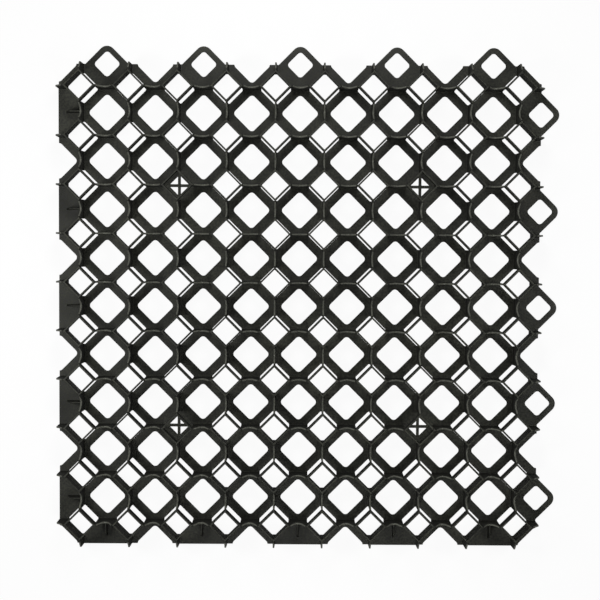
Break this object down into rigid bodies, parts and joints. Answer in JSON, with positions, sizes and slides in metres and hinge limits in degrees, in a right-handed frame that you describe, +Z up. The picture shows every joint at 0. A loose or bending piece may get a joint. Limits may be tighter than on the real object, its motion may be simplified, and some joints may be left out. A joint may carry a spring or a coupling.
{
  "type": "grass paver grid",
  "caption": "Square plastic ground grid of octagon and diamond cells on a flat flange floor, joined to its neighbours by edge loops, to carry traffic over grass or gravel",
  "frame": {"origin": "centre of the bounding box on the underside, which lies on Z = 0", "axes": "+Z up through the panel's depth, +X towards the edge with loops that is on the right in the picture, +Y towards the edge with loops that is at the top of the picture"},
  "size_m": [0.5186, 0.5186, 0.04],
  "materials": {
    "moulding": "dull black recycled plastic, faint grain"
  },
  "bodies": {
    "root": {"paver_grid": "moulding"}
  },
  "joints": []
}
